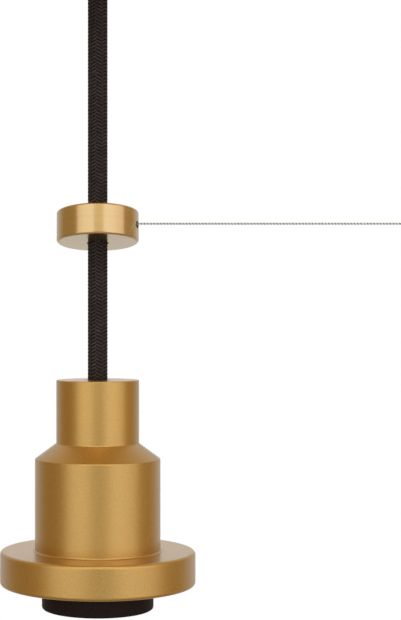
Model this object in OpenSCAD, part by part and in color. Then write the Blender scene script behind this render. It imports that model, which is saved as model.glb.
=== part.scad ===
// Pendant lampholder on a braided textile cord. A disc slides on the cord and is drawn
// sideways by a thin steel wire, which sets where and how high the lamp hangs.
// Frame: +Z up, the origin is the centre of the ceiling face, +X points to the wire's eye
// and -Y to the front. All sizes are in millimetres.

/* [Hanging heights] */
// Drop from the ceiling face to the top of the lampholder's neck
neck_drop = 180; // [170:1:300]
// Height of the adjuster disc's centre above the neck's top
adjuster_rise = 54.7; // [15:0.1:60]

/* [Textile cord] */
// Diameter of the braided cord
cord_d = 7; // [6:0.1:7]
// Length of cord inside the lampholder, below the neck's top
cord_in_holder = 29; // [24:1:29]
// Diameter of one insulated core
core_d = 2.2; // [1.6:0.1:2.3]

/* [Metal cup of the lampholder] */
// Outer diameter of the neck
neck_d = 29.7; // [29:0.1:32]
// Height of the neck
neck_h = 22.6; // [20:0.1:26]
// Thickness of the neck's roof
roof_t = 4; // [3:0.5:5]
// Diameter of the cord hole in the roof
roof_hole_d = 8.4; // [7.6:0.1:10]
// Height of the cone under the neck
cone_h = 5.6; // [4:0.1:8]
// Outer diameter of the body
body_d = 45; // [45:0.1:46]
// Height of the body, down to the flange
body_h = 32.8; // [32.5:0.1:38]
// Radius of the fillets at the two ends of the cone
cup_edge = 0.6; // [0.2:0.1:0.8]
// Radius of the fillet at the cup's foot, where it seats on the flange
foot_fillet = 0.6; // [0.3:0.1:1]

/* [Clamping flange] */
// Outer diameter of the flange
flange_d = 70; // [60:1:90]
// Thickness of the flange
flange_t = 12; // [9:0.1:13]
// Radius of the flange's rounded edges
flange_edge = 1.2; // [0.3:0.1:1.5]
// Height of the threaded spigot that enters the cup
spigot_h = 5.5; // [5:0.5:6]
// Pitch of the flange's thread, which sets the height of its relief groove
flange_pitch = 1.5; // [1:0.25:2]
// Depth of the register in the flange's top, which centres the cup
register_h = 0.2; // [0.1:0.05:0.5]

/* [Lampholder] */
// Outer diameter of the smooth skirt
skirt_d = 40; // [39.5:0.1:40]
// Length of skirt that stands out below the flange
skirt_reveal = 8.7; // [6:0.1:12]
// Inner diameter of the skirt's mouth
mouth_d = 34; // [31:0.5:35]
// Inner diameter of the Edison screw shell, for a 27 mm lamp cap
shell_bore_d = 26.6; // [26.5:0.05:26.8]
// Length of the screw shell
shell_h = 19.4; // [16:0.1:19.4]

/* [Adjuster disc] */
// Diameter of the disc
disc_d = 29.5; // [28:0.5:36]
// Height of the disc
disc_h = 11.2; // [10:0.1:12]
// Cant of the disc on the cord, front edge up
disc_cant = 10; // [0:0.5:10]
// Radius of the disc's rounded edges
disc_edge = 0.9; // [0.3:0.1:1]
// Diameter of the cord bore through the disc
disc_bore_d = 7.8; // [7.4:0.1:8.4]
// Outer diameter of the split bush inside the disc
bush_d = 10; // [9:0.1:10.4]
// Height of the split bush
bush_h = 5; // [4:0.1:5]
// Diameter of the lock screw
lock_d = 4; // [3:0.5:4]

/* [Steel wire] */
// Diameter of the twisted wire
wire_d = 1; // [0.8:0.1:1.2]
// Distance of the wire from the cord's axis, towards the front
wire_offset = 4.25; // [4:0.05:5]
// Height of the wire above the nozzle's axis, where it is drawn against the lip
wire_lift = 0.33; // [0:0.01:0.35]
// Distance of the wire's far end from the cord's axis
wire_reach = 118; // [60:1:200]
// Diameter of the hole in the wire's eye
eye_hole_d = 4.3; // [3.5:0.1:5]

/* [Ceiling rose] */
// Outer diameter of the canopy
canopy_d = 90; // [88:1:110]
// Height of the canopy
canopy_h = 28; // [27:0.5:30]
// Thickness of the canopy's side wall
canopy_wall = 1.5; // [1.2:0.1:1.6]
// Thickness of the canopy's floor
canopy_floor = 2; // [1.5:0.1:2.5]
// Radius of the canopy's lower edge
canopy_edge = 1; // [0.5:0.1:2]
// Distance between the two slots of the ceiling bracket
slot_spacing = 64; // [60:1:66]
// Length of each slot
slot_length = 12; // [8:1:14]
// Width of each slot
slot_w = 4.5; // [4:0.1:5]
// Diameter of the cord outlet's collar
outlet_d = 16; // [14:0.5:18]
// Height of the cord outlet's collar
outlet_h = 12; // [11:0.5:12]

/* [Hidden] */
fine = 96;        // segments of a turned piece
eps = 0.01;       // overshoot of a cut
play = 0.05;      // radial clearance of a thread or a running fit
bevel = 0.3;      // lead-in at the end of a thread, a bore or a screw
gold = "#b78f51";
black = "#241f20";
steel = "#b9bbbd";
brass = "#c9a24b";
white = "#e9e6df";

// Heights of the lampholder, from its neck down to its skirt
neck_top = -neck_drop;
roof_z = neck_top - roof_t;
cone_top = neck_top - neck_h;
cone_bottom = cone_top - cone_h;
flange_top = cone_bottom - body_h;
flange_bottom = flange_top - flange_t;
skirt_bottom = flange_bottom - skirt_reveal;
cup_wall = 2.5;
neck_bore_r = neck_d / 2 - cup_wall;
shelf_z = cone_bottom - 1.3;
thread_wall = 1;
thread_r = body_d / 2 - thread_wall;
cup_bottom = flange_top - register_h;
foot_r = body_d / 2 + foot_fillet;
register_r = foot_r + 0.1;
cone_angle = atan2(body_d / 2 - neck_d / 2, cone_h);
seat_r = skirt_d / 2 + 0.4;
spigot_top = flange_top + spigot_h;
spigot_bore_r = skirt_d / 2 + 0.3;
washer_t = 0.5;
shoulder_t = 2;
shoulder_bottom = spigot_top + washer_t;
shoulder_top = shoulder_bottom + shoulder_t;

// Lampholder: the shell's mouth, the carrier and the domed cap
mouth_h = 8;
shell_mouth = skirt_bottom + mouth_h;
shell_wall = 0.35;
shell_top = shell_mouth + shell_h + shell_wall;
carrier_r = 16.4;
carrier_top = shell_top + 7.5;
recess_r = 9;
recess_top = carrier_top - 2.7;
collar_r = 17.9;
cap_spring = carrier_top + 3.5;
cap_rise = 12;
cap_top = cap_spring + cap_rise;
cap_wall = 1.8;
cap_flat_r = 8;
nipple_r = 5;
grip_r = 6.3;
grip_top = neck_top - 16;
grip_bottom = cap_top - 3.5;
grip_screw_z = grip_top - 6;
terminal_x = 6.2;
terminal_w = 5;
terminal_top = carrier_top + 6;
terminal_screw_z = carrier_top + 3;
terminal_screw_r = 1.25;
core_hole_r = 1.25;
leg_w = 3;
leg_t = 0.8;
neutral_leg_x = 11.8;
earth_r = 16.5;
small_screw_r = 1.5;
earth_barrel_angle = 106;

// Sprung centre contact: a tongue that turns at its root
tongue_t = 0.5;
tongue_w = 5;
tongue_pivot = [5.3, 0, recess_top - tongue_t / 2 - play];
tongue_run = 4.85;
tongue_slope = 21;
tongue_flat = 3;

// Adjuster
disc_z = neck_top + adjuster_rise;
disc_r = disc_d / 2;
bush_r = bush_d / 2;
pocket_r = bush_r + play;
nozzle_r = 1.35;
nozzle_in = 11.6;
nozzle_lip = 0.12;
stop_in = 8.2;
stop_out = 11.5;
stop_r = 1.25;
pad_length = 1.9;
pad_out = pocket_r + pad_length;
lock_r = lock_d / 2;
lock_out = disc_r - 0.4;
socket_r = 1.15;
wire_r = wire_d / 2;
nozzle_bore_r = wire_r + 0.35;
eye_r = 4;
eye_t = 2;
eye_x = wire_reach + eye_r + 1;
sleeve_r = 1.5;
sleeve_in = wire_reach - 8;

// Ceiling rose
canopy_r = canopy_d / 2;
canopy_gap = 0.3;
canopy_bottom = -canopy_h;
floor_top = canopy_bottom + canopy_floor;
plate_t = 1.5;
bracket_w = 18;
ear_x = canopy_r - canopy_wall - 2;
ear_bottom = -14;
ear_screw_z = -8;
side_screw_r = 2;
spigot_r = 5;
pivot_z = canopy_bottom - 8;
outlet_bottom = canopy_bottom - outlet_h;
outlet_bore_r = 3.8;
outlet_mouth_r = 5.4;
outlet_screw_z = canopy_bottom - 2;
outlet_screw_r = 1.5;
lock_washer_t = 0.8;
nut_t = 3;
nut_top = floor_top + lock_washer_t + nut_t;
tail_top = canopy_bottom + 8.5;
block_x = [8, 24.4];
block_y = 8;
block_bottom = -13.5;
pole_x = [12, 20.4];
pole_z = -8.5;
pole_r = 1.8;
pole_screw_y = [-4, 4];
insert_r = 2.4;
earth_screw_x = -14;
earth_ring_r = 3.8;
tag_t = 0.8;
core_in_barrel = 1;

// Points of an arc of radius r about [x, y], from angle a to angle b
function arc(x, y, r, a, b, n = 6) =
    [for (i = [0:n]) [x + r * cos(a + (b - a) * i / n), y + r * sin(a + (b - a) * i / n)]];

// A point of the cubic curve that leaves p[0] towards p[1] and arrives at p[3] from p[2]
function curve_point(p, t) =
    pow(1 - t, 3) * p[0] + 3 * pow(1 - t, 2) * t * p[1]
    + 3 * (1 - t) * t * t * p[2] + pow(t, 3) * p[3];
function curve(p, n = 14) = [for (i = [0:n]) curve_point(p, i / n)];

// Direction of a route at its point i
function unit(v) = v / norm(v);
function heading(route, i) =
    unit(route[min(i + 1, len(route) - 1)] - route[max(i - 1, 0)]);

// One frame for each route point, each turned as little as possible from the one before
function next_side(side, along) = unit(side - (side * along) * along);
function frames(route, side, i = 0) =
    i == len(route) ? []
    : let (s = next_side(side, heading(route, i))) concat([s], frames(route, s, i + 1));

// A round tube of radius r along a route of points
module swept_tube(route, r, sides, first_side) {
    side = frames(route, first_side);
    rings = len(route);
    points = [
        for (i = [0:rings - 1], k = [0:sides - 1])
            let (along = heading(route, i), up = cross(along, side[i]), a = 360 * k / sides)
            route[i] + r * (cos(a) * side[i] + sin(a) * up)
    ];
    walls = [
        for (i = [0:rings - 2], k = [0:sides - 1])
            let (a = i * sides + k, b = i * sides + (k + 1) % sides)
            [a, a + sides, b + sides, b]
    ];
    start_cap = [for (k = [0:sides - 1]) k];
    end_cap = [for (k = [sides - 1:-1:0]) (rings - 1) * sides + k];
    polyhedron(points, concat(walls, [start_cap, end_cap]), convexity = 4);
}

// A tube between two heights
module ring(outer_r, inner_r, low, high) {
    difference() {
        translate([0, 0, low])
            cylinder(r = outer_r, h = high - low, $fn = fine);
        translate([0, 0, low - eps])
            cylinder(r = inner_r, h = high - low + 2 * eps, $fn = fine);
    }
}

module turned(profile) {
    rotate_extrude($fn = fine)
        polygon(profile);
}

// Cuts a screwdriver slot down into a head whose top is at z
module driver_slot(head_r, z, width, depth) {
    translate([-head_r - 1, -width / 2, z - depth])
        cube([2 * head_r + 2, width, depth + 1]);
}

// A pan head screw with its head up: the shank's tip at z = tip, the head seated at z = seat
module pan_screw(shank_r, tip, seat, head_r, head_t, slot_width) {
    top = seat + head_t;
    difference() {
        turned([[0, tip], [shank_r - bevel, tip], [shank_r, tip + bevel], [shank_r, seat],
                [head_r, seat], [head_r, top - 0.4], [head_r - 0.4, top], [0, top]]);
        driver_slot(head_r, top, slot_width, head_t / 2);
    }
}

// Places its children in the canted disc's own frame
module canted() {
    translate([0, 0, disc_z])
        rotate([-disc_cant, 0, 0])
            children();
}
function from_disc(p) = [
    p[0],
    p[1] * cos(disc_cant) + p[2] * sin(disc_cant),
    disc_z - p[1] * sin(disc_cant) + p[2] * cos(disc_cant)
];

// The wire starts in its stop, rises to the nozzle's lip and then runs straight
wire_rise_x = [8.4, 10, 11.5, 12.5, 13.5, 14.5];
wire_rise = [0, 0, 0, 0.3, 0.75, 1];
wire_straight_steps = 14;
wire_route = concat(
    [for (i = [0:len(wire_rise_x) - 1])
        from_disc([wire_rise_x[i], -wire_offset, wire_lift * wire_rise[i]])],
    [for (i = [1:wire_straight_steps])
        from_disc([14.5 + (wire_reach - 0.5 - 14.5) * i / wire_straight_steps,
                   -wire_offset, wire_lift])]
);
wire_end = from_disc([wire_reach, -wire_offset, wire_lift]);

// ---- Ceiling rose ----

module slot(x) {
    translate([x, 0, -plate_t - eps])
        for (side = [-1, 1])
            translate([side * (slot_length - slot_w) / 2, 0, 0])
                cylinder(d = slot_w, h = plate_t + 2 * eps, $fn = fine);
    translate([x - (slot_length - slot_w) / 2, -slot_w / 2, -plate_t - eps])
        cube([slot_length - slot_w, slot_w, plate_t + 2 * eps]);
}

module ceiling_bracket() {
    color(steel)
    difference() {
        union() {
            translate([-ear_x, -bracket_w / 2, -plate_t])
                cube([2 * ear_x, bracket_w, plate_t]);
            for (side = [-1, 1])
                translate([side * (ear_x - plate_t / 2) - plate_t / 2, -bracket_w / 2, ear_bottom])
                    cube([plate_t, bracket_w, -ear_bottom - eps]);
        }
        for (side = [-1, 1])
            slot(side * slot_spacing / 2);
        translate([earth_screw_x, 0, -plate_t - eps])
            cylinder(r = side_screw_r + play, h = plate_t + 2 * eps, $fn = fine);
        translate([-ear_x - eps, 0, ear_screw_z])
            rotate([0, 90, 0])
                cylinder(r = side_screw_r + play, h = 2 * ear_x + 2 * eps, $fn = fine);
    }
}

module canopy() {
    r = canopy_r;
    e = canopy_edge;
    color(gold)
    difference() {
        turned(concat(
            [[spigot_r + play, canopy_bottom]],
            arc(r - e, canopy_bottom + e, e, -90, 0),
            [
                [r, -canopy_gap - bevel], [r - bevel, -canopy_gap],
                [r - canopy_wall, -canopy_gap], [r - canopy_wall, floor_top],
                [spigot_r + play, floor_top]
            ]
        ));
        translate([-r - 1, 0, ear_screw_z])
            rotate([0, 90, 0])
                cylinder(r = side_screw_r + 0.15, h = 2 * r + 2, $fn = fine);
    }
}

// A domed screw with a slot, its head on the canopy's wall and its shank in the ear
module canopy_screws() {
    head_r = 3.6;
    head_t = 2.2;
    dome = 1.2;
    shank = 5.8;
    color(gold)
    for (side = [0, 180])
        rotate([0, 0, side])
            translate([canopy_r, 0, ear_screw_z])
                rotate([0, 90, 0])
                    difference() {
                        turned(concat(
                            [[0, -shank], [side_screw_r - bevel, -shank],
                             [side_screw_r, bevel - shank], [side_screw_r, 0], [head_r, 0]],
                            arc(head_r - dome, head_t - dome, dome, 0, 90),
                            [[0, head_t]]
                        ));
                        driver_slot(head_r, head_t, 1, 1);
                    }
}

module earth_screw() {
    color(brass)
    translate([earth_screw_x, 0, 0])
        rotate([180, 0, 0])
            pan_screw(side_screw_r, 0, plate_t + tag_t, earth_ring_r, 2.4, 1);
}

// A ring terminal: a flat ring below z = 0 and a barrel that takes the core
module ring_tag(hole_r, ring_r, barrel, barrel_drop) {
    barrel_r = 1.6;
    strip_w = 2.6;
    reach = norm(barrel);
    difference() {
        union() {
            translate([0, 0, -tag_t])
                cylinder(r = ring_r, h = tag_t, $fn = fine);
            rotate([0, 0, atan2(barrel[1], barrel[0])])
                translate([0, -strip_w / 2, -tag_t])
                    cube([reach, strip_w, tag_t]);
            translate([barrel[0], barrel[1], -barrel_drop])
                cylinder(r = barrel_r, h = barrel_drop, $fn = fine);
        }
        translate([0, 0, -tag_t - eps])
            cylinder(r = hole_r, h = tag_t + 2 * eps, $fn = fine);
        translate([barrel[0], barrel[1], -barrel_drop - eps])
            cylinder(r = core_d / 2 + 0.1, h = core_in_barrel + eps, $fn = fine);
    }
}

rose_barrel = [0, 6.2];
rose_barrel_drop = 3;

module rose_earth_tag() {
    color(brass)
    translate([earth_screw_x, 0, -plate_t])
        ring_tag(side_screw_r + play, earth_ring_r, rose_barrel, rose_barrel_drop);
}

module cord_outlet() {
    r = outlet_d / 2;
    color(gold)
    difference() {
        turned(concat(
            [[outlet_bore_r, nut_top + 1], [spigot_r - 0.4, nut_top + 1],
             [spigot_r, nut_top + 0.6], [spigot_r, canopy_bottom], [r - bevel, canopy_bottom],
             [r, canopy_bottom - bevel]],
            arc(r - 0.6, outlet_bottom + 0.6, 0.6, 0, -90),
            arc(outlet_mouth_r + 0.4, outlet_bottom + 0.4, 0.4, -90, -160, 4),
            [[outlet_bore_r, pivot_z + 0.2]]
        ));
        translate([0, 0, outlet_screw_z])
            rotate([-90, 0, 0])
                cylinder(r = outlet_screw_r + play, h = r + 1, $fn = fine);
    }
}

module outlet_washer() {
    color(steel)
        ring(9, spigot_r + 0.2, floor_top, floor_top + lock_washer_t);
}

module outlet_locknut() {
    across_corners_r = 8.1;
    low = floor_top + lock_washer_t;
    color(steel)
    difference() {
        intersection() {
            translate([0, 0, low])
                cylinder(r = across_corners_r, h = nut_t, $fn = 6);
            turned([[0, low], [7.6, low], [8.2, low + 0.5], [8.2, low + nut_t - 0.5],
                    [7.6, low + nut_t], [0, low + nut_t]]);
        }
        translate([0, 0, low - eps])
            cylinder(r = spigot_r + play, h = nut_t + 2 * eps, $fn = fine);
    }
}

module grub_screw(r, tip, end, socket) {
    difference() {
        turned([[0, tip], [r - bevel, tip], [r, tip + bevel], [r, end - bevel], [r - bevel, end],
                [0, end]]);
        translate([0, 0, end - 1.6])
            cylinder(r = socket, h = 2, $fn = 6);
    }
}

module outlet_clamp_screw() {
    color(steel)
    translate([0, 0, outlet_screw_z])
        rotate([-90, 0, 0])
            grub_screw(outlet_screw_r, cord_d / 2 + play, outlet_d / 2 - 0.2, 0.85);
}

module cord_tail() {
    color(black)
    translate([0, 0, pivot_z + cord_d / 2 + 0.1])
        cylinder(d = cord_d, h = tail_top - pivot_z - cord_d / 2 - 0.1, $fn = fine);
}

// Three cores sit side by side in the cord, a third of a turn apart
core_circle_r = 1.35;
function core_start(turn, z) =
    [core_circle_r * cos(turn), core_circle_r * sin(turn), z];

// A core leaves the cord's end straight for a short length, then curves to its terminal
module core(turn, z, straight, towards, arriving, end) {
    first = core_start(turn, z);
    bend = core_start(turn, z + straight);
    swept_tube(concat([first], curve([bend, towards, arriving, end])), core_d / 2, 8, [1, 0, 0]);
}

module rose_core_to_pole(turn, i, towards) {
    core(turn, tail_top, 1.2, towards,
         [pole_x[i], 20, pole_z], [pole_x[i], block_y - 2, pole_z]);
}

module rose_live_core() {
    color("#6b4a32")
        rose_core_to_pole(30, 1, [4, 9, tail_top + 3]);
}

module rose_neutral_core() {
    color("#4a6d94")
        rose_core_to_pole(150, 0, [-3, 9, tail_top + 6]);
}

module rose_earth_core() {
    tag_low = -plate_t - rose_barrel_drop + core_in_barrel - 0.1;
    color("#8a9a4a")
        core(270, tail_top, 1.2, [-6, -4, tail_top + 7],
             [earth_screw_x + rose_barrel[0], rose_barrel[1], tag_low - 9],
             [earth_screw_x + rose_barrel[0], rose_barrel[1], tag_low]);
}

// A strip of two poles: a base under the bracket and a tower for each pole
module terminal_block() {
    low = block_bottom;
    base_t = 3;
    tower_w = 7.8;
    color(white)
    difference() {
        union() {
            translate([block_x[0], -block_y, -plate_t - base_t])
                cube([block_x[1] - block_x[0], 2 * block_y, base_t - eps]);
            for (x = pole_x)
                translate([x - tower_w / 2, -block_y, low])
                    cube([tower_w, 2 * block_y, -plate_t - base_t - low + eps]);
        }
        for (x = pole_x) {
            translate([x, -block_y - 1, pole_z])
                rotate([-90, 0, 0])
                    cylinder(r = insert_r + play, h = 2 * block_y + 2, $fn = fine);
            for (y = pole_screw_y)
                translate([x, y, low - 1])
                    cylinder(r = 2, h = pole_z - low + 1, $fn = fine);
        }
    }
}

module terminal_inserts() {
    color(brass)
    for (x = pole_x)
        difference() {
            translate([x, -block_y + 1, pole_z])
                rotate([-90, 0, 0])
                    cylinder(r = insert_r, h = 2 * block_y - 2, $fn = fine);
            translate([x, -block_y, pole_z])
                rotate([-90, 0, 0])
                    cylinder(r = pole_r, h = 2 * block_y, $fn = fine);
            for (y = pole_screw_y)
                translate([x, y, block_bottom])
                    cylinder(r = 1.5, h = pole_z - block_bottom, $fn = fine);
        }
}

module terminal_screws() {
    thread_r = 1.45;
    head_r = 1.8;
    tip = pole_z - pole_r + 0.2;
    shoulder = pole_z - 3.2;
    head = block_bottom + 0.6;
    color(steel)
    for (x = pole_x, y = pole_screw_y)
        translate([x, y, 0])
            difference() {
                turned([[0, tip], [thread_r, tip], [thread_r, shoulder], [head_r, shoulder],
                        [head_r, head], [0, head]]);
                translate([-head_r - 1, -0.3, block_bottom])
                    cube([2 * head_r + 2, 0.6, 1.4]);
            }
}

// ---- Hanging lampholder ----

// The cord turns in the outlet about the centre of its round end
module textile_cord() {
    color(black) {
        translate([0, 0, cord_end])
            cylinder(d = cord_d, h = pivot_z - cord_end, $fn = fine);
        translate([0, 0, pivot_z])
            sphere(d = cord_d, $fn = fine);
    }
}

module holder_cup() {
    neck_r = neck_d / 2;
    body_r = body_d / 2;
    hole_r = roof_hole_d / 2;
    e = cup_edge;
    top_e = 0.4;
    rise = e * tan(cone_angle / 2);
    color(gold)
    difference() {
        turned(concat(
            [[hole_r, roof_z], [hole_r, neck_top - bevel], [hole_r + bevel, neck_top]],
            arc(neck_r - top_e, neck_top - top_e, top_e, 90, 0, 4),
            arc(neck_r + e, cone_top + rise, e, 180, 180 + cone_angle, 4),
            arc(body_r - e, cone_bottom - rise, e, cone_angle, 0, 4),
            arc(foot_r, flange_top + foot_fillet, foot_fillet, 180, 270, 5),
            [
                [foot_r, cup_bottom], [thread_r + bevel, cup_bottom],
                [thread_r, cup_bottom + bevel], [thread_r, shoulder_top], [seat_r, shoulder_top],
                [seat_r, shelf_z], [neck_bore_r, shelf_z], [neck_bore_r, roof_z]
            ]
        ));
        translate([0, earth_r, shelf_z - eps])
            cylinder(r = small_screw_r + play, h = 3.4, $fn = fine);
    }
}

// A threaded nipple under a collar, with a side screw that grips the cord
module cord_grip() {
    color(brass)
    difference() {
        union() {
            ring(nipple_r, cord_d / 2 + 0.1, grip_bottom, cap_top + eps);
            difference() {
                turned([[0, cap_top], [grip_r - 0.4, cap_top], [grip_r, cap_top + 0.4],
                        [grip_r, grip_top - 0.8], [grip_r - 0.8, grip_top], [0, grip_top]]);
                translate([0, 0, cap_top - eps])
                    cylinder(r = cord_d / 2 + 0.1, h = grip_top - cap_top + 2 * eps, $fn = fine);
            }
        }
        translate([0, 0, grip_screw_z])
            rotate([0, 90, 0])
                cylinder(r = small_screw_r + play, h = grip_r + 1, $fn = fine);
    }
}

module cord_grip_screw() {
    color(steel)
    translate([0, 0, grip_screw_z])
        rotate([0, 90, 0])
            pan_screw(small_screw_r, cord_d / 2 + play, grip_r + 0.4, 2.8, 1.9, 0.8);
}

module lampholder_cap() {
    outer_r = seat_r - 0.5;
    inner_r = collar_r + 0.15;
    outer_run = outer_r - cap_flat_r;
    inner_run = inner_r - cap_flat_r;
    inner_rise = cap_rise - cap_wall;
    steps = 10;
    tag_x = earth_r * cos(earth_barrel_angle);
    tag_y = earth_r * sin(earth_barrel_angle);
    color(black)
    difference() {
        turned(concat(
            [[inner_r, shoulder_top + play], [outer_r, shoulder_top + play]],
            [for (i = [0:steps])
                [cap_flat_r + outer_run * cos(90 * i / steps),
                 cap_spring + cap_rise * sin(90 * i / steps)]],
            [[nipple_r + play, cap_top], [nipple_r + play, cap_spring + inner_rise]],
            [for (i = [0:steps])
                [cap_flat_r + inner_run * sin(90 * i / steps),
                 cap_spring + inner_rise * cos(90 * i / steps)]]
        ));
        translate([tag_x - 1.8, tag_y - 2.4, cap_spring + 3])
            cube([3.6, 6, cap_rise]);
    }
}

module lampholder_skirt() {
    r = skirt_d / 2;
    mouth_r = mouth_d / 2;
    seat = 14;
    collar_top = carrier_top - 0.2;
    color(black)
    turned(concat(
        [[mouth_r, skirt_bottom + 0.6], [mouth_r + 0.6, skirt_bottom]],
        arc(r - 0.8, skirt_bottom + 0.8, 0.8, -90, 0, 5),
        [
            [r, shoulder_bottom], [thread_r - 0.2, shoulder_bottom],
            [thread_r - 0.2, shoulder_top], [collar_r, shoulder_top], [collar_r, collar_top],
            [carrier_r + 0.1, collar_top], [carrier_r + 0.1, shell_top], [seat, shell_top],
            [seat, shell_mouth + 1.5], [mouth_r, shell_mouth]
        ]
    ));
}

module contact_carrier() {
    leg_gap = 0.1;
    color(white)
    difference() {
        union() {
            turned([[recess_r, shell_top], [carrier_r, shell_top], [carrier_r, carrier_top - 0.4],
                    [carrier_r - 0.4, carrier_top], [0, carrier_top], [0, recess_top],
                    [recess_r, recess_top]]);
            translate([-1, -11, carrier_top - eps])
                cube([2, 22, 3]);
        }
        translate([terminal_x - leg_t / 2 - leg_gap, -leg_w / 2 - leg_gap, recess_top - 1])
            cube([leg_t + 2 * leg_gap, leg_w + 2 * leg_gap, 5]);
        translate([-neutral_leg_x - leg_t / 2 - leg_gap, -leg_w / 2 - leg_gap, shell_top - 1])
            cube([leg_t + 2 * leg_gap, leg_w + 2 * leg_gap, 12]);
    }
}

module screw_shell() {
    bore_r = shell_bore_d / 2;
    hole_r = recess_r + 0.3;
    lip_r = bore_r + shell_wall + 0.15;
    color(brass)
    turned([
        [bore_r, shell_mouth + bevel], [bore_r + bevel, shell_mouth], [lip_r, shell_mouth],
        [lip_r, shell_mouth + 0.4], [bore_r + shell_wall, shell_mouth + 0.8],
        [bore_r + shell_wall, shell_top], [hole_r, shell_top], [hole_r, shell_top - shell_wall],
        [bore_r, shell_top - shell_wall]
    ]);
}

// A brass post with a hole for the core from above and a screw from the side
module terminal_post() {
    difference() {
        translate([terminal_x - terminal_w / 2, -terminal_w / 2, carrier_top])
            cube([terminal_w, terminal_w, terminal_top - carrier_top]);
        translate([terminal_x, 0, carrier_top + 1.2])
            cylinder(r = core_hole_r, h = terminal_top - carrier_top, $fn = fine);
        translate([terminal_x, 0, terminal_screw_z])
            rotate([0, 90, 0])
                cylinder(r = terminal_screw_r + play, h = terminal_w, $fn = fine);
    }
}

module live_terminal() {
    foot_in = tongue_pivot[0] + tongue_t / 2 + play;
    foot_out = 8.4;
    color(brass) {
        terminal_post();
        translate([terminal_x - leg_t / 2, -leg_w / 2, recess_top - tongue_t])
            cube([leg_t, leg_w, carrier_top - recess_top + tongue_t + 0.5]);
        translate([foot_in, -tongue_w / 2, recess_top - tongue_t])
            cube([foot_out - foot_in, tongue_w, tongue_t]);
    }
}

module neutral_terminal() {
    color(brass)
    mirror([1, 0, 0]) {
        terminal_post();
        translate([neutral_leg_x - leg_t / 2, -leg_w / 2, shell_top])
            cube([leg_t, leg_w, carrier_top - shell_top + leg_t]);
        translate([terminal_x, -leg_w / 2, carrier_top])
            cube([neutral_leg_x - terminal_x, leg_w, leg_t]);
    }
}

module contact_screws() {
    tip = terminal_x + core_hole_r + play;
    face = terminal_x + terminal_w / 2;
    color(steel)
    for (side = [0, 180])
        rotate([0, 0, side])
            translate([0, 0, terminal_screw_z])
                rotate([0, 90, 0])
                    pan_screw(terminal_screw_r, tip, face, 2.2, 1.7, 0.8);
}

cord_end = neck_top - cord_in_holder;
core_leave = grip_bottom - 0.2;

module live_core() {
    color("#6b4a32")
        core(-30, cord_end, -1, [core_circle_r, 0, core_leave - 4],
             [terminal_x, 0, core_leave - 2], [terminal_x, 0, terminal_top - 1.2]);
}

module neutral_core() {
    color("#4a6d94")
        core(210, cord_end, -1, [-core_circle_r, 0, core_leave - 4],
             [-terminal_x, 0, core_leave - 2], [-terminal_x, 0, terminal_top - 1.2]);
}

earth_barrel_drop = 3.2;
earth_barrel = [earth_r * cos(earth_barrel_angle), earth_r * sin(earth_barrel_angle)];

module earth_core() {
    low = shelf_z - earth_barrel_drop;
    color("#8a9a4a")
        core(90, cord_end, -1, [0, core_circle_r, core_leave - 11],
             [earth_barrel[0], earth_barrel[1], core_leave - 9],
             [earth_barrel[0], earth_barrel[1], low + core_in_barrel - 0.2]);
}

module earth_tag() {
    color(brass)
    translate([0, earth_r, shelf_z])
        ring_tag(small_screw_r + play, 3, [earth_barrel[0], earth_barrel[1] - earth_r],
                 earth_barrel_drop);
}

module earth_tag_screw() {
    color(steel)
    translate([0, earth_r, shelf_z])
        rotate([180, 0, 0])
            pan_screw(small_screw_r, -3, tag_t, 2.6, 1.6, 0.7);
}

// A springy strip: it slopes down from its root and ends in a flat with a round button
module centre_contact() {
    half = tongue_t / 2;
    elbow = -tongue_run * [cos(tongue_slope), sin(tongue_slope)];
    mitre = half * [tan(tongue_slope / 2), -1];
    tip_x = elbow[0] - tongue_flat;
    color(brass)
    translate(tongue_pivot) {
        rotate([90, 0, 0])
            linear_extrude(height = tongue_w, center = true)
                polygon(concat(
                    arc(0, 0, half, 90 + tongue_slope, -90 + tongue_slope),
                    [
                        elbow + mitre, [tip_x, elbow[1] - half], [tip_x, elbow[1] + half],
                        elbow - mitre
                    ]
                ));
        translate([elbow[0] - 0.9, 0, elbow[1] - half - 0.5])
            cylinder(r1 = 0.8, r2 = 1.3, h = 0.5 + eps, $fn = fine);
    }
}

module slip_washer() {
    color(steel)
        ring(thread_r - 0.2, spigot_bore_r + 0.05, spigot_top, shoulder_bottom);
}

// Turned flange with a relieved, threaded spigot
module clamp_flange() {
    r = flange_d / 2;
    e = flange_edge;
    male_r = thread_r - play;
    relief = 0.5;
    relief_top = flange_top + flange_pitch / 2;
    color(gold)
    turned(concat(
        [[spigot_bore_r, flange_bottom + 0.4], [spigot_bore_r + 0.4, flange_bottom]],
        arc(r - e, flange_bottom + e, e, -90, 0),
        arc(r - e, flange_top - e, e, 0, 90),
        [
            [register_r, flange_top], [register_r, cup_bottom],
            [male_r - relief, cup_bottom], [male_r - relief, relief_top],
            [male_r, relief_top + bevel], [male_r, spigot_top - bevel], [male_r - bevel, spigot_top],
            [spigot_bore_r, spigot_top]
        ]
    ));
}

// ---- Adjuster ----

module disc_outline(r, h, e) {
    turned(concat(
        [[0, -h / 2]],
        arc(r - e, -h / 2 + e, e, -90, 0),
        arc(r - e, h / 2 - e, e, 0, 90),
        [[0, h / 2]]
    ));
}

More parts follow.
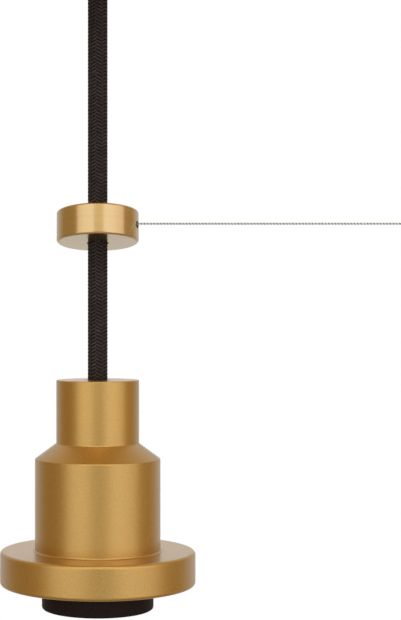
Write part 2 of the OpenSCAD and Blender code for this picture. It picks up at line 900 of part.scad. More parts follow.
// The cord's bore and the bush's pocket stay upright, so the disc hangs canted on the cord
module adjuster_body() {
    color(gold)
    difference() {
        canted()
            disc_outline(disc_r, disc_h, disc_edge);
        translate([0, 0, disc_z - disc_h])
            cylinder(d = disc_bore_d, h = 2 * disc_h, $fn = fine);
        translate([0, 0, disc_z - bush_h / 2 - play])
            cylinder(r = pocket_r, h = disc_h, $fn = fine);
        canted() {
            translate([stop_in - 0.2, -wire_offset, 0])
                rotate([0, 90, 0])
                    cylinder(r = nozzle_r, h = disc_r, $fn = fine);
            translate([0, pocket_r - 2, 0])
                rotate([-90, 0, 0])
                    cylinder(r = lock_r + play, h = disc_r, $fn = fine);
        }
    }
}

module bush_retaining_ring() {
    color(gold)
    intersection() {
        ring(pocket_r - 0.02, disc_bore_d / 2, disc_z + bush_h / 2 + play, disc_z + disc_h);
        canted()
            disc_outline(disc_r, disc_h, disc_edge);
    }
}

// The bush is split at the front and chamfered inside, so that it springs onto the cord
module cord_bush() {
    bore_r = cord_d / 2 + play;
    half = bush_h / 2;
    slit = 1;
    color(white)
    difference() {
        translate([0, 0, disc_z])
            turned([[bore_r, -half + 0.4], [bore_r + 0.4, -half], [bush_r - bevel, -half],
                    [bush_r, -half + bevel], [bush_r, half - bevel], [bush_r - bevel, half],
                    [bore_r + 0.4, half], [bore_r, half - 0.4]]);
        translate([-slit / 2, -bush_r - 1, disc_z - bush_h])
            cube([slit, bush_r, 2 * bush_h]);
    }
}

module clamp_pad() {
    color(brass)
    difference() {
        canted()
            translate([0, pocket_r - 1.5, 0])
                rotate([-90, 0, 0])
                    cylinder(r = lock_r - play, h = pad_length + 1.5, $fn = fine);
        translate([0, 0, disc_z - disc_h])
            cylinder(r = pocket_r, h = 2 * disc_h, $fn = fine);
    }
}

module lock_screw() {
    color(steel)
    canted()
        rotate([-90, 0, 0])
            grub_screw(lock_r, pad_out + play, lock_out, socket_r);
}

module wire_nozzle() {
    length = disc_r - nozzle_in;
    color(steel)
    canted()
        intersection() {
            translate([nozzle_in, -wire_offset, 0])
                rotate([0, 90, 0])
                    difference() {
                        cylinder(r = nozzle_r - 0.02, h = length, $fn = fine);
                        translate([0, 0, -eps])
                            cylinder(r = nozzle_bore_r, h = length + 2 * eps, $fn = fine);
                    }
            cylinder(r = disc_r + nozzle_lip, h = disc_h, center = true, $fn = fine);
        }
}

module wire_stop() {
    color(steel)
    canted()
        translate([stop_in, -wire_offset, 0])
            rotate([0, 90, 0])
                difference() {
                    turned([[0, 0], [stop_r - 0.2, 0], [stop_r, 0.2],
                            [stop_r, stop_out - stop_in - 0.2], [stop_r - 0.2, stop_out - stop_in],
                            [0, stop_out - stop_in]]);
                    translate([0, 0, 0.15])
                        cylinder(r = wire_r + 0.02, h = stop_out - stop_in, $fn = fine);
                }
}

module wire_rope() {
    color(steel)
        swept_tube(wire_route, wire_r, 8, [0, 1, 0]);
}

// A swaged sleeve on the wire, with a flat eye to hook up
module wire_eye() {
    neck_r = 1.3;
    color(steel)
    translate([0, wire_end[1], wire_end[2]])
        difference() {
            union() {
                translate([sleeve_in, 0, 0])
                    rotate([0, 90, 0])
                        turned([[0, 0], [sleeve_r - 0.4, 0], [sleeve_r, 0.6],
                                [sleeve_r, wire_reach - sleeve_in],
                                [neck_r, wire_reach - sleeve_in + 0.8],
                                [neck_r, eye_x - eye_hole_d / 2 - 1 - sleeve_in],
                                [0, eye_x - eye_hole_d / 2 - 1 - sleeve_in]]);
                translate([eye_x, 0, 0])
                    rotate([90, 0, 0])
                        translate([0, 0, -eye_t / 2])
                            turned([[0, 0], [eye_r - bevel, 0], [eye_r, bevel], [eye_r, eye_t - bevel],
                                    [eye_r - bevel, eye_t], [0, eye_t]]);
            }
            translate([sleeve_in - 1, 0, 0])
                rotate([0, 90, 0])
                    cylinder(r = wire_r + 0.02, h = wire_reach - sleeve_in + 1, $fn = fine);
            translate([eye_x, 0, 0])
                rotate([90, 0, 0])
                    cylinder(d = eye_hole_d, h = 2 * eye_t, center = true, $fn = fine);
        }
}

ceiling_bracket();
canopy();
canopy_screws();
earth_screw();
rose_earth_tag();
cord_outlet();
outlet_washer();
outlet_locknut();
outlet_clamp_screw();
cord_tail();
rose_live_core();
rose_neutral_core();
rose_earth_core();
terminal_block();
terminal_inserts();
terminal_screws();
textile_cord();
holder_cup();
cord_grip();
cord_grip_screw();
lampholder_cap();
lampholder_skirt();
contact_carrier();
screw_shell();
live_terminal();
neutral_terminal();
contact_screws();
live_core();
neutral_core();
earth_core();
earth_tag();
earth_tag_screw();
centre_contact();
slip_washer();
clamp_flange();
cord_bush();
adjuster_body();
bush_retaining_ring();
wire_nozzle();
wire_stop();
wire_rope();
wire_eye();
clamp_pad();
lock_screw();
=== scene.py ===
"""Looks of the pendant lampholder: camera, studio, braided cord, twisted wire and materials."""

import math

import bpy
import numpy as np
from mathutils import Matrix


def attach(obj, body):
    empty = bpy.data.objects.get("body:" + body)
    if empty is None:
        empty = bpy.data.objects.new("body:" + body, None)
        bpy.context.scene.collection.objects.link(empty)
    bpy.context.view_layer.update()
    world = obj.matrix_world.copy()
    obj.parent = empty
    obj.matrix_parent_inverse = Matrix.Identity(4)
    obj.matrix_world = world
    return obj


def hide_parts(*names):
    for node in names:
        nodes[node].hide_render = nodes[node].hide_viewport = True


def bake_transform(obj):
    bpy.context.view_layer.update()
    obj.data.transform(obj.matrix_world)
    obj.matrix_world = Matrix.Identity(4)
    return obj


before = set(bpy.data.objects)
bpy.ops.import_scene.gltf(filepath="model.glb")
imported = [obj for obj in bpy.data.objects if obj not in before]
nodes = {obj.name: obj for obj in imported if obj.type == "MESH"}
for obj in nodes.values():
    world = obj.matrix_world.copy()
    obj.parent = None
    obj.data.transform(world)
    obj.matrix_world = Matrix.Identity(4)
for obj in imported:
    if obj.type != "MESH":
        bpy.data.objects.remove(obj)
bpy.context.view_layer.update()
MM = 0.001

# Sizes and heights of the part, in mm, as the CAD has them unless a comment says otherwise
CORD_TOP = -19.5
CORD_END = -209.0
CORD_R = 3.6          # over the crowns of the yarns; the solid cord is 0.1 less
DISC_Z = -125.3
DISC_CANT = math.radians(10)
WIRE_OFFSET = 4.25
WIRE_LIFT = 0.33
WIRE_R = 0.42         # round both strands, as in the photo; the solid wire is 0.08 more
WIRE_REACH = 118.0
SHELL_MOUTH = -253.7
SHELL_TOP = -233.95
SHELL_R = 13.3


# ---- Camera ----

PHOTO_W, PHOTO_H = 401, 620
FOCAL_PX = 1506.0
EYE = (0.0, -0.540, -0.15566)   # in metres; the camera looks level
AXIS_PX = 97.7                  # the photo's column in which the cord's axis is seen
HORIZON_PX = 312.0              # the photo's row at the camera's own height


def make_camera():
    data = bpy.data.cameras.new("camera")
    data.sensor_width = 36.0
    data.lens = FOCAL_PX * data.sensor_width / PHOTO_H
    data.shift_x = (PHOTO_W / 2 - AXIS_PX) / PHOTO_H
    data.shift_y = (HORIZON_PX - PHOTO_H / 2) / PHOTO_H
    data.clip_start = 0.02
    camera = bpy.data.objects.new("camera", data)
    camera.location = EYE
    camera.rotation_euler = (math.pi / 2, 0, 0)
    bpy.context.scene.collection.objects.link(camera)
    bpy.context.scene.camera = camera


make_camera()


# ---- Meshes ----


def add_mesh(name, vertices, faces):
    """A smooth-shaded mesh object in the scene."""
    mesh = bpy.data.meshes.new(name)
    mesh.from_pydata([tuple(v) for v in vertices], [], [tuple(f) for f in faces])
    mesh.update()
    mesh.validate()
    mesh.polygons.foreach_set("use_smooth", [True] * len(mesh.polygons))
    piece = bpy.data.objects.new(name, mesh)
    bpy.context.scene.collection.objects.link(piece)
    return piece


def tube_faces(rings, sides, first):
    """Quads between rings of a tube whose points start at index first, and its two caps."""
    i, k = np.meshgrid(np.arange(rings - 1), np.arange(sides), indexing="ij")
    a = first + i * sides + k
    b = first + i * sides + (k + 1) % sides
    quads = np.stack([a, b, b + sides, a + sides], axis=-1).reshape(-1, 4)
    start = [first + k for k in range(sides - 1, -1, -1)]
    end = [first + (rings - 1) * sides + k for k in range(sides)]
    return [tuple(q) for q in quads.tolist()] + [start, end]


def sweep(path, side, up, section):
    """Points of a section (k, 2) carried along path (n, 3); side and up are its axes."""
    return (
        path[:, None, :]
        + section[None, :, 0:1] * side[:, None, :]
        + section[None, :, 1:2] * up[:, None, :]
    ).reshape(-1, 3)


def unit(v):
    return v / np.linalg.norm(v, axis=-1, keepdims=True)


def tubes_piece(name, tubes):
    """One mesh of many tubes. A tube is (points, rings, sides, across, along, number)."""
    vertices, faces, facts, first = [], [], [], 0
    for points, rings, sides, across, along, number in tubes:
        vertices.append(points)
        faces += tube_faces(rings, sides, first)
        across = np.broadcast_to(across, (rings, sides)).ravel()
        facts.append(
            np.stack([across, np.repeat(along, sides), np.full(rings * sides, number)], axis=-1)
        )
        first += len(points)
    piece = add_mesh(name, np.concatenate(vertices) * MM, faces)
    attribute = piece.data.attributes.new("strand", "FLOAT_VECTOR", "POINT")
    attribute.data.foreach_set("vector", np.concatenate(facts).astype(np.float32).ravel())
    return piece


# ---- Braided cord ----

CARRIERS = 8                    # yarns in each direction
BRAID_PITCH = 10.2              # height of one turn of a yarn
YARN_HALF_W = 0.62
YARN_HALF_T = 0.24
YARN_SIDES = 10
WEAVE_DEPTH = 0.25              # how far a yarn goes in and out
WEAVE_PHASE = -math.pi / 4      # lets each yarn go over two others, then under two
STEPS_A_TURN = 48
OTHER_HAND = 20                 # keeps the numbers of the two directions apart
CORE_R = CORD_R - 0.95
CORE_RINGS, CORE_SIDES = 96, 16


def braid_tubes():
    turns = (CORD_TOP - CORD_END) / BRAID_PITCH
    rings = int(turns * STEPS_A_TURN) + 1
    z = np.linspace(CORD_TOP, CORD_END, rings)
    middle_r = CORD_R - YARN_HALF_T - WEAVE_DEPTH
    angle = np.arange(YARN_SIDES) * 2 * math.pi / YARN_SIDES
    section = np.stack([YARN_HALF_W * np.cos(angle), YARN_HALF_T * np.sin(angle)], axis=-1)
    tubes = []
    for hand in (1, -1):
        for i in range(CARRIERS):
            turn = 2 * math.pi * (i / CARRIERS + hand * (CORD_TOP - z) / BRAID_PITCH)
            over = np.cos(CARRIERS / 2 * turn + WEAVE_PHASE)
            r = middle_r + hand * WEAVE_DEPTH * over
            out = np.stack([np.cos(turn), np.sin(turn), np.zeros(rings)], axis=-1)
            path = out * r[:, None] + np.stack([0 * z, 0 * z, z], axis=-1)
            along = unit(np.gradient(path, axis=0))
            side = unit(np.cross(along, out))
            up = np.cross(side, along)
            points = sweep(path, side, up, section)
            number = i + hand * OTHER_HAND
            tubes.append((points, rings, YARN_SIDES, np.cos(angle), CORD_TOP - z, number))
    return tubes


def straight_tube(r, z_values, sides, number):
    """A round tube on the cord's axis, marked all over as the edge of a yarn, so it takes the
    yarns' painted edge shade.
    """
    angle = np.arange(sides) * 2 * math.pi / sides
    section = np.stack([r * np.cos(angle), r * np.sin(angle)], axis=-1)
    n = len(z_values)
    path = np.stack([np.zeros(n), np.zeros(n), z_values], axis=-1)
    points = sweep(path, np.tile([1.0, 0, 0], (n, 1)), np.tile([0, 1.0, 0], (n, 1)), section)
    return points, n, sides, 1.0, z_values, number


def make_cord():
    core = straight_tube(CORE_R, np.linspace(CORD_TOP, CORD_END, CORE_RINGS), CORE_SIDES, 0)
    cord = tubes_piece("braided_cord", [core] + braid_tubes())
    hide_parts("textile_cord", "cord_tail")
    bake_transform(cord)
    return cord


cord = make_cord()


# ---- Twisted wire ----

STRANDS = 2
STRAND_R = WIRE_R / (1 + 1 / math.sin(math.pi / STRANDS))
STRAND_SIDES = 12
ROPE_LAY = 2.30       # length of one turn of a strand
ROPE_STEP = 0.12      # distance between a strand's rings
WIRES = 6             # wires in a strand, which give it its lobes
WIRE_LOBE = 0.04      # how far a lobe stands out, as a share of the strand's radius
STRAND_LAY = 1.9      # length of one turn of the wires in a strand


def from_disc(x, y, z):
    """A point of the canted disc's own frame, in the row frame, in mm."""
    c, s = math.cos(DISC_CANT), math.sin(DISC_CANT)
    return (x, y * c + z * s, DISC_Z - y * s + z * c)


ROPE_START = 8.4                  # inside the crimped stop
ROPE_END = WIRE_REACH - 0.5       # inside the crimped eye
RISE_X = [11.5, 12.5, 13.5, 14.5]
RISE = [0, 0.3, 0.75, 1]      # share of WIRE_LIFT that the wire has risen by each RISE_X


def wire_centre(x):
    """The wire's middle line, which rises a little from its pocket to the nozzle."""
    lift = np.interp(x, RISE_X, RISE) * WIRE_LIFT
    return np.array([from_disc(a, -WIRE_OFFSET, b) for a, b in zip(x, lift)])


def rope_tubes():
    x = np.arange(ROPE_START, ROPE_END, ROPE_STEP)
    centre = wire_centre(x)
    ring_r = WIRE_R - STRAND_R
    n = len(x)
    level = np.tile([0.0, 1.0, 0.0], (n, 1))
    rise = np.tile([0.0, 0.0, 1.0], (n, 1))
    tubes = []
    for i in range(STRANDS):
        turn = 2 * math.pi * (i / STRANDS + x / ROPE_LAY)
        out = np.cos(turn)[:, None] * level + np.sin(turn)[:, None] * rise
        path = centre + ring_r * out
        along = unit(np.gradient(path, axis=0))
        side = unit(np.cross(along, out))
        up = np.cross(side, along)
        k = np.arange(STRAND_SIDES) * 2 * math.pi / STRAND_SIDES
        lobes = STRAND_R * (1 - WIRE_LOBE + WIRE_LOBE * np.cos(WIRES * k))
        twist = -2 * math.pi * x / STRAND_LAY
        a = k[None, :] + twist[:, None]
        points = (
            path[:, None, :]
            + (lobes * np.cos(a))[:, :, None] * side[:, None, :]
            + (lobes * np.sin(a))[:, :, None] * up[:, None, :]
        ).reshape(-1, 3)
        tubes.append((points, n, STRAND_SIDES, np.sin(a), x, i + 1))
    return tubes


def make_wire():
    wire = tubes_piece("twisted_wire", rope_tubes())
    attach(wire, "adjuster")
    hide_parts("wire_rope")
    return wire


wire = make_wire()


# ---- Rolled thread of the screw shell ----

THREAD_PITCH = 3.629
THREAD_DEPTH = 0.5
MOUTH_FADE, TOP_FADE = 1.5, 2.0     # heights over which the thread runs out
SHELL_WALL = 0.3
FLOOR_R = 9.3                       # radius of the hole in the shell's floor
FLOOR_T = 0.35
SHELL_AROUND, SHELL_UPWARD = 72, 72


def shell_wall(turn, outward):
    """Rings (radius, height) of the threaded wall from its mouth to its top."""
    rings = []
    for j in range(SHELL_UPWARD + 1):
        z = SHELL_MOUTH + (SHELL_TOP - SHELL_MOUTH) * j / SHELL_UPWARD
        fade = min(1.0, (z - SHELL_MOUTH) / MOUTH_FADE, max(0.0, (SHELL_TOP - z) / TOP_FADE))
        wave = 0.5 - 0.5 * np.cos(2 * math.pi * z / THREAD_PITCH - turn)
        rings.append((SHELL_R - 2 * THREAD_DEPTH * fade * wave + outward, z))
    return rings


def make_shell():
    """The Edison shell with its rolled thread: a thin wall whose radius follows a helix."""
    around = SHELL_AROUND
    turn = np.arange(around) * 2 * math.pi / around
    inside = shell_wall(turn, 0.0)
    floor = [(FLOOR_R, SHELL_TOP - FLOOR_T), (FLOOR_R, SHELL_TOP)]
    outside = shell_wall(turn, SHELL_WALL)
    rings = inside + floor + outside[::-1]
    points = []
    for r, z in rings:
        points.append(np.stack([r * np.cos(turn), r * np.sin(turn), np.full(around, z)], axis=-1))
    rows = len(rings)
    vertices = np.concatenate(points) * MM
    faces = []
    for a in range(rows):
        b = (a + 1) % rows
        for k in range(around):
            k2 = (k + 1) % around
            faces.append((a * around + k, b * around + k, b * around + k2, a * around + k2))
    shell = add_mesh("threaded_shell", vertices, faces)
    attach(shell, "pendant")
    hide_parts("screw_shell")
    return shell


shell = make_shell()


# ---- Materials ----

NOISE_RANGE = (0.3, 0.7)      # noise seldom leaves this range


class Shader:
    """Builds a material's nodes."""

    def __init__(self, name):
        self.material = bpy.data.materials.new(name)
        self.material.use_nodes = True
        self.tree = self.material.node_tree
        self.main = self.tree.nodes["Principled BSDF"]

    def node(self, kind, **settings):
        made = self.tree.nodes.new(kind)
        for key, value in settings.items():
            setattr(made, key, value)
        return made

    def join(self, a, b):
        self.tree.links.new(a, b)

    def set(self, **values):
        for key, value in values.items():
            self.main.inputs[key.replace("_", " ")].default_value = value

    def place(self):
        return self.node("ShaderNodeTexCoord").outputs["Object"]

    def math(self, operation, *inputs):
        made = self.node("ShaderNodeMath", operation=operation)
        for i, value in enumerate(inputs):
            if isinstance(value, (int, float)):
                made.inputs[i].default_value = value
            else:
                self.join(value, made.inputs[i])
        return made.outputs[0]

    def vector(self, operation, *inputs):
        made = self.node("ShaderNodeVectorMath", operation=operation)
        for i, value in enumerate(inputs):
            if isinstance(value, tuple):
                made.inputs[i].default_value = value
            else:
                self.join(value, made.inputs[i])
        return made.outputs[0]

    def noise(self, vector, scale, detail=2.0, rough=0.5):
        made = self.node("ShaderNodeTexNoise")
        made.inputs["Scale"].default_value = scale
        made.inputs["Detail"].default_value = detail
        made.inputs["Roughness"].default_value = rough
        self.join(vector, made.inputs["Vector"])
        return made.outputs[0]

    def remap(self, value, low, high, to_low, to_high):
        made = self.node("ShaderNodeMapRange")
        self.join(value, made.inputs["Value"])
        for key, number in (
            ("From Min", low), ("From Max", high), ("To Min", to_low), ("To Max", to_high),
        ):
            made.inputs[key].default_value = number
        return made.outputs[0]

    def spread(self, noise, to_low, to_high):
        """Noise stretched over a range of its own."""
        return self.remap(noise, *NOISE_RANGE, to_low, to_high)

    def mix(self, factor, a, b):
        made = self.node("ShaderNodeMix", data_type="RGBA")
        for key, value in ((0, factor), (6, a), (7, b)):
            if isinstance(value, (int, float, tuple)):
                made.inputs[key].default_value = value
            else:
                self.join(value, made.inputs[key])
        return made.outputs[2]

    def bump(self, height, depth_mm, strength=1.0, below=None):
        made = self.node("ShaderNodeBump")
        made.inputs["Strength"].default_value = strength
        made.inputs["Distance"].default_value = depth_mm * MM
        self.join(height, made.inputs["Height"])
        if below is not None:
            self.join(below, made.inputs["Normal"])
        return made.outputs[0]

    def lathe(self, centre=(0, 0, 0), tilt=0.0):
        """(distance from the turning axis, height along it, 0), for turning lines."""
        where = self.vector("SUBTRACT", self.place(), centre)
        if tilt:
            turned = self.node("ShaderNodeVectorRotate", rotation_type="X_AXIS")
            turned.inputs["Angle"].default_value = tilt
            self.join(where, turned.inputs["Vector"])
            where = turned.outputs[0]
        parts = self.node("ShaderNodeSeparateXYZ")
        self.join(where, parts.inputs[0])
        x, y, z = parts.outputs
        r = self.math("SQRT", self.math("ADD", self.math("MULTIPLY", x, x),
                                        self.math("MULTIPLY", y, y)))
        made = self.node("ShaderNodeCombineXYZ")
        self.join(r, made.inputs[0])
        self.join(z, made.inputs[1])
        return made.outputs[0]


def srgb(r, g, b):
    """A colour of the picture, 0 to 255, as Blender's linear colour."""
    out = []
    for v in (r, g, b):
        v /= 255
        out.append(v / 12.92 if v <= 0.04045 else ((v + 0.055) / 1.055) ** 2.4)
    return (*out, 1.0)


def shade(colour, factor):
    """A colour made darker, or lighter with a factor above 1."""
    return tuple(v * factor for v in colour[:3]) + (1.0,)


GOLD = (0.590, 0.354, 0.077, 1.0)


def blasted_gold():
    """Bead-blasted, gold anodised aluminium: a fine even grain over faint turning rings."""
    s = Shader("gold_blasted")
    where = s.place()
    rings = s.lathe()
    grain = s.noise(where, 2100, 3, 0.65)
    tone = s.mix(s.spread(grain, 0, 1), shade(GOLD, 0.84), shade(GOLD, 1.16))
    cloud = s.noise(where, 45, 2)
    tone = s.mix(s.spread(cloud, 0, 0.35), tone, shade(GOLD, 1.12))
    s.join(tone, s.main.inputs["Base Color"])
    s.join(s.spread(grain, 0.36, 0.42), s.main.inputs["Roughness"])
    fine = s.bump(s.noise(rings, 1500, 2), 0.004, 0.5)
    s.join(s.bump(grain, 0.016, 0.8, fine), s.main.inputs["Normal"])
    s.set(Metallic=1.0, Coat_Weight=1.0, Coat_Roughness=0.32, Coat_IOR=1.65)
    return s.material


PALE_GOLD = (0.645, 0.410, 0.114, 1.0)


def turned_gold(name, centre=(0, 0, 0), tilt=0.0):
    """Turned gold anodised aluminium: fine lines round the turning axis, under a clear skin."""
    s = Shader(name)
    rings = s.lathe(centre, tilt)
    lines = s.noise(rings, 5200, 3, 0.7)
    broad = s.noise(rings, 900, 2)
    tone = s.mix(s.spread(lines, 0, 1), shade(PALE_GOLD, 0.95), shade(PALE_GOLD, 1.05))
    tone = s.mix(s.remap(broad, 0.35, 0.65, 0, 0.4), tone, shade(PALE_GOLD, 1.15))
    s.join(tone, s.main.inputs["Base Color"])
    s.join(s.spread(lines, 0.20, 0.30), s.main.inputs["Roughness"])
    s.join(s.bump(lines, 0.004, 0.35), s.main.inputs["Normal"])
    s.set(Metallic=1.0, Coat_Weight=1.0, Coat_Roughness=0.14, Coat_IOR=2.4)
    return s.material


def black_moulding():
    """Moulded black thermoset with a fine dull skin."""
    s = Shader("black_thermoset")
    where = s.place()
    rings = s.lathe()
    skin = s.noise(where, 900, 3, 0.6)
    s.join(
        s.mix(s.spread(skin, 0, 1), (0.0190, 0.0135, 0.0135, 1), (0.0280, 0.0200, 0.0200, 1)),
        s.main.inputs["Base Color"],
    )
    s.join(s.spread(skin, 0.42, 0.56), s.main.inputs["Roughness"])
    marks = s.bump(s.noise(rings, 700, 2), 0.008, 0.5)
    s.join(s.bump(skin, 0.01, 0.6, marks), s.main.inputs["Normal"])
    s.set(Specular_IOR_Level=0.04)
    return s.material


def yarn():
    """Black textile yarn: lengthwise fibres, with each yarn a little different, and painted shade
    along each yarn's edges where it dips under its neighbours.
    """
    s = Shader("black_yarn")
    fact = s.node("ShaderNodeAttribute", attribute_name="strand")
    parts = s.node("ShaderNodeSeparateXYZ")
    s.join(fact.outputs["Vector"], parts.inputs[0])
    across, along, number = parts.outputs
    place = s.node("ShaderNodeCombineXYZ")
    s.join(s.math("MULTIPLY", across, 5.0), place.inputs[0])
    s.join(s.math("MULTIPLY", along, 0.9), place.inputs[1])
    s.join(number, place.inputs[2])
    fibre = s.noise(place.outputs[0], 1.0, 3, 0.6)
    tone = s.mix(
        s.remap(fibre, 0.38, 0.66, 0, 1), (0.006, 0.004, 0.0045, 1), (0.105, 0.080, 0.084, 1)
    )
    # Painted shade: each yarn's edges, and the core seen between yarns, darken to near black
    # where they dip under their neighbours
    unshaded_crown = s.remap(s.math("ABSOLUTE", across), 0.25, 0.85, 1, 0)
    cloud = s.noise(s.place(), 160, 2)
    tone = s.mix(s.remap(cloud, 0.4, 0.7, 0, 0.4), tone, (0.018, 0.0105, 0.010, 1))
    tone = s.mix(unshaded_crown, (0.0015, 0.0010, 0.0011, 1), tone)
    s.join(tone, s.main.inputs["Base Color"])
    s.join(s.spread(fibre, 0.55, 0.75), s.main.inputs["Roughness"])
    s.join(s.bump(fibre, 0.05, 0.9), s.main.inputs["Normal"])
    s.set(Specular_IOR_Level=0.2)
    return s.material


def metal(name, colour, rough, grain=1800, axis_rings=False):
    """Plain machined or drawn metal with fine marks."""
    s = Shader(name)
    where = s.lathe() if axis_rings else s.place()
    marks = s.noise(where, grain, 3, 0.6)
    s.join(
        s.mix(s.spread(marks, 0, 1), shade(colour, 0.86), shade(colour, 1.06)),
        s.main.inputs["Base Color"],
    )
    s.join(s.spread(marks, rough - 0.06, rough + 0.08), s.main.inputs["Roughness"])
    s.join(s.bump(marks, 0.006, 0.6), s.main.inputs["Normal"])
    s.set(Metallic=1.0)
    return s.material


def twisted_steel():
    """Bright steel strands with painted shade on their sides where they dip between their
    neighbours.
    """
    s = Shader("steel_wire")
    fact = s.node("ShaderNodeAttribute", attribute_name="strand")
    parts = s.node("ShaderNodeSeparateXYZ")
    s.join(fact.outputs["Vector"], parts.inputs[0])
    # Painted shade: the strands' inner sides darken to near black where they dip between their
    # neighbours
    unshaded_crown = s.remap(parts.outputs[0], -0.25, 0.25, 0, 1)
    marks = s.noise(s.place(), 3000, 3, 0.6)
    bright = s.mix(s.spread(marks, 0, 1), (0.88, 0.95, 1.0, 1), (0.94, 0.99, 1.0, 1))
    s.join(s.mix(unshaded_crown, (0.05, 0.055, 0.06, 1), bright), s.main.inputs["Base Color"])
    s.join(s.spread(marks, 0.40, 0.54), s.main.inputs["Roughness"])
    s.join(s.bump(marks, 0.006, 0.6), s.main.inputs["Normal"])
    s.set(Metallic=1.0)
    return s.material


def moulded(name, colour, rough, scatter=0.0):
    """Moulded plastic or glazed insulator with a slight mottle."""
    s = Shader(name)
    skin = s.noise(s.place(), 700, 3, 0.6)
    s.join(
        s.mix(s.spread(skin, 0, 1), shade(colour, 0.92), shade(colour, 1.04)),
        s.main.inputs["Base Color"],
    )
    s.join(s.spread(skin, rough - 0.05, rough + 0.07), s.main.inputs["Roughness"])
    s.join(s.bump(skin, 0.01, 0.5), s.main.inputs["Normal"])
    if scatter:
        s.set(Subsurface_Weight=scatter, Subsurface_Scale=0.002)
    return s.material


BLASTED = blasted_gold()
TURNED = turned_gold("gold_turned")
DISC_GOLD = turned_gold("gold_disc", (0, 0, DISC_Z * MM), DISC_CANT)
BLACK = black_moulding()
YARN = yarn()
STEEL = metal("steel_plated", (0.56, 0.55, 0.53, 1), 0.32)
WIRE_STEEL = twisted_steel()
# Painted shade: the nozzle gets a near-black steel colour that stands in for the shade of the
# wire's hole
NOZZLE_SHADE_STEEL = metal("steel_dark_for_hole_shade", (0.10, 0.085, 0.07, 1), 0.2)
EYE_STEEL = metal("steel_bright", (0.60, 0.62, 0.64, 1), 0.24, 3000)
BRASS = metal("brass", (0.70, 0.45, 0.16, 1), 0.33)
SHELL_METAL = metal("shell_brass", (0.72, 0.50, 0.22, 1), 0.26, 1200, True)
NYLON = moulded("white_nylon", (0.74, 0.72, 0.67, 1), 0.45, 0.2)
CERAMIC = moulded("white_ceramic", (0.80, 0.78, 0.73, 1), 0.25)
CORES = {
    "brown": moulded("core_brown", srgb(92, 58, 38), 0.40),
    "blue": moulded("core_blue", srgb(46, 92, 150), 0.40),
    "green": moulded("core_green_yellow", srgb(120, 150, 52), 0.40),
}

FINISH = {
    "holder_cup": BLASTED, "clamp_flange": BLASTED,
    "adjuster_body": DISC_GOLD, "bush_retaining_ring": DISC_GOLD,
    "canopy": BLASTED, "canopy_screws": TURNED, "cord_outlet": TURNED,
    "lampholder_skirt": BLACK, "lampholder_cap": BLACK,
    "ceiling_bracket": STEEL, "outlet_washer": STEEL, "outlet_locknut": STEEL,
    "outlet_clamp_screw": STEEL, "terminal_screws": STEEL, "cord_grip_screw": STEEL,
    "contact_screws": STEEL, "earth_tag_screw": STEEL, "slip_washer": STEEL,
    # the nozzle's dark steel is painted shade for the hole it sits in
    "wire_nozzle": NOZZLE_SHADE_STEEL, "wire_stop": STEEL, "lock_screw": STEEL,
    "wire_eye": EYE_STEEL,
    "earth_screw": BRASS, "rose_earth_tag": BRASS, "terminal_inserts": BRASS,
    "cord_grip": BRASS, "live_terminal": BRASS, "neutral_terminal": BRASS,
    "earth_tag": BRASS, "centre_contact": BRASS, "clamp_pad": BRASS,
    "terminal_block": NYLON, "cord_bush": NYLON, "contact_carrier": CERAMIC,
    "rose_live_core": CORES["brown"], "live_core": CORES["brown"],
    "rose_neutral_core": CORES["blue"], "neutral_core": CORES["blue"],
    "rose_earth_core": CORES["green"], "earth_core": CORES["green"],
}


def dress(piece, material):
    piece.data.materials.clear()
    piece.data.materials.append(material)


for name, material in FINISH.items():
    dress(nodes[name], material)
dress(cord, YARN)
dress(wire, WIRE_STEEL)
dress(shell, SHELL_METAL)


# ---- Studio ----

LAMP_TARGET = np.array([0, 0, -0.19])
SOFTBOXES = {
    # name: azimuth, elevation, distance, width, height, power, colour
    "softbox_left": (-36, 12, 1.3, 1.16, 1.6, 3.4, (0.97, 1.0, 1.05)),
    "softbox_right": (48, 12, 1.3, 1.50, 1.6, 4.6, (0.96, 1.0, 1.12)),
    "softbox_top": (0, 56, 1.2, 1.2, 0.36, 2.2, (1, 1, 1)),
    "softbox_middle": (3, 24, 1.3, 0.5, 0.5, 0.20, (1, 0.76, 0.28)),
}


def area_lamp(name, azimuth, elevation, distance, width, height, power, colour):
    """A soft lamp that looks at the lampholder. Azimuth 0 is the camera's side, +90 is +X."""
    data = bpy.data.lights.new(name, "AREA")
    data.shape = "RECTANGLE"
    data.size, data.size_y = width, height
    data.energy = power
    data.color = colour
    lamp = bpy.data.objects.new(name, data)
    a, e = math.radians(azimuth), math.radians(elevation)
    away = np.array([math.sin(a) * math.cos(e), -math.cos(a) * math.cos(e), math.sin(e)])
    lamp.location = (LAMP_TARGET + distance * away).tolist()
    lamp.rotation_euler = (math.pi / 2 - e, 0, a)
    bpy.context.scene.collection.objects.link(lamp)


BACKDROP_EDGE = (0.94, 0.975)     # cosine from the backdrop's middle at which it ends
BACKDROP_DROP = math.radians(4)   # how far the backdrop's middle lies below the level

# The room's colour, from the camera's side (0) to the far side (1)
ROOM = [
    (0.0, (0.58, 0.55, 0.50)), (0.10, (0.55, 0.50, 0.42)), (0.34, (0.40, 0.28, 0.14)),
    (0.68, (0.40, 0.28, 0.14)), (0.83, (0.50, 0.45, 0.40)), (0.92, (0.56, 0.55, 0.53)),
    (0.97, (0.50, 0.49, 0.48)),
]
# Each factor on the room's light is (from, to, factor at from, factor at to) of a direction
RIGHTWARD = (-1, 1, 0.94, 1.08)
BELOW = (-0.7, -0.1, 0.88, 1)
ABOVE = (0.3, 0.8, 1, 1.38)


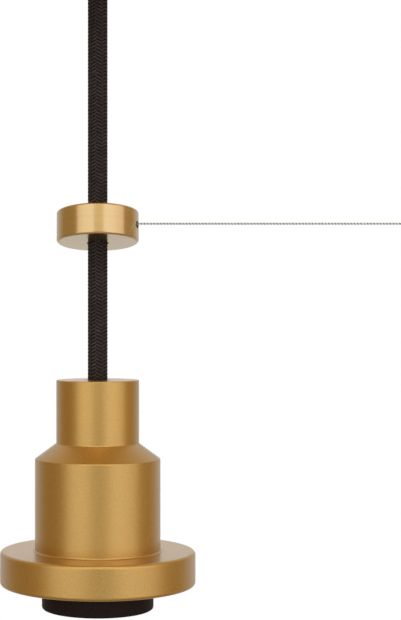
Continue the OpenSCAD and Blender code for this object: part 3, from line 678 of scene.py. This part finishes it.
def make_world():
    """A white backdrop, for the camera and in mirrors, in a room with darker, warmer sides."""
    world = bpy.data.worlds.new("studio")
    bpy.context.scene.world = world
    world.use_nodes = True
    tree = world.node_tree
    tree.nodes.clear()
    link = tree.links.new

    def combine(operation, a, b):
        made = tree.nodes.new("ShaderNodeMath")
        made.operation = operation
        link(a, made.inputs[0])
        link(b, made.inputs[1])
        return made.outputs[0]

    def remap(value, low, high, to_low=0, to_high=1, smooth=True):
        made = tree.nodes.new("ShaderNodeMapRange")
        made.interpolation_type = "SMOOTHSTEP" if smooth else "LINEAR"
        link(value, made.inputs["Value"])
        for key, number in (
            ("From Min", low), ("From Max", high), ("To Min", to_low), ("To Max", to_high),
        ):
            made.inputs[key].default_value = number
        return made.outputs[0]

    direction = tree.nodes.new("ShaderNodeTexCoord").outputs["Generated"]
    parts = tree.nodes.new("ShaderNodeSeparateXYZ")
    link(direction, parts.inputs[0])
    x, y, z = parts.outputs

    middle = tree.nodes.new("ShaderNodeVectorMath")
    middle.operation = "DOT_PRODUCT"
    middle.inputs[1].default_value = (0, math.cos(BACKDROP_DROP), -math.sin(BACKDROP_DROP))
    link(direction, middle.inputs[0])
    behind = remap(middle.outputs["Value"], *BACKDROP_EDGE)
    path = tree.nodes.new("ShaderNodeLightPath").outputs
    mirrored = combine("MAXIMUM", path["Is Glossy Ray"], path["Is Transmission Ray"])
    white = combine("MAXIMUM", path["Is Camera Ray"], combine("MULTIPLY", mirrored, behind))

    ramp = tree.nodes.new("ShaderNodeValToRGB")
    ramp.color_ramp.interpolation = "EASE"
    elements = ramp.color_ramp.elements
    elements.remove(elements[1])
    for place, colour in ROOM:
        element = elements.new(place) if place else elements[0]
        element.color = (*colour, 1)
    link(remap(y, -1, 1, smooth=False), ramp.inputs["Fac"])

    backdrop = tree.nodes.new("ShaderNodeBackground")
    backdrop.inputs["Color"].default_value = (1, 1, 1, 1)
    room = tree.nodes.new("ShaderNodeBackground")
    link(ramp.outputs["Color"], room.inputs["Color"])
    height = combine("MULTIPLY", remap(z, *BELOW), remap(z, *ABOVE))
    link(
        combine("MULTIPLY", remap(x, *RIGHTWARD, smooth=False), height), room.inputs["Strength"]
    )
    mix = tree.nodes.new("ShaderNodeMixShader")
    link(white, mix.inputs["Fac"])
    link(room.outputs[0], mix.inputs[1])
    link(backdrop.outputs[0], mix.inputs[2])
    out = tree.nodes.new("ShaderNodeOutputWorld")
    link(mix.outputs[0], out.inputs["Surface"])


make_world()
for softbox, settings in SOFTBOXES.items():
    area_lamp(softbox, *settings)

bpy.context.scene.view_settings.view_transform = "Standard"
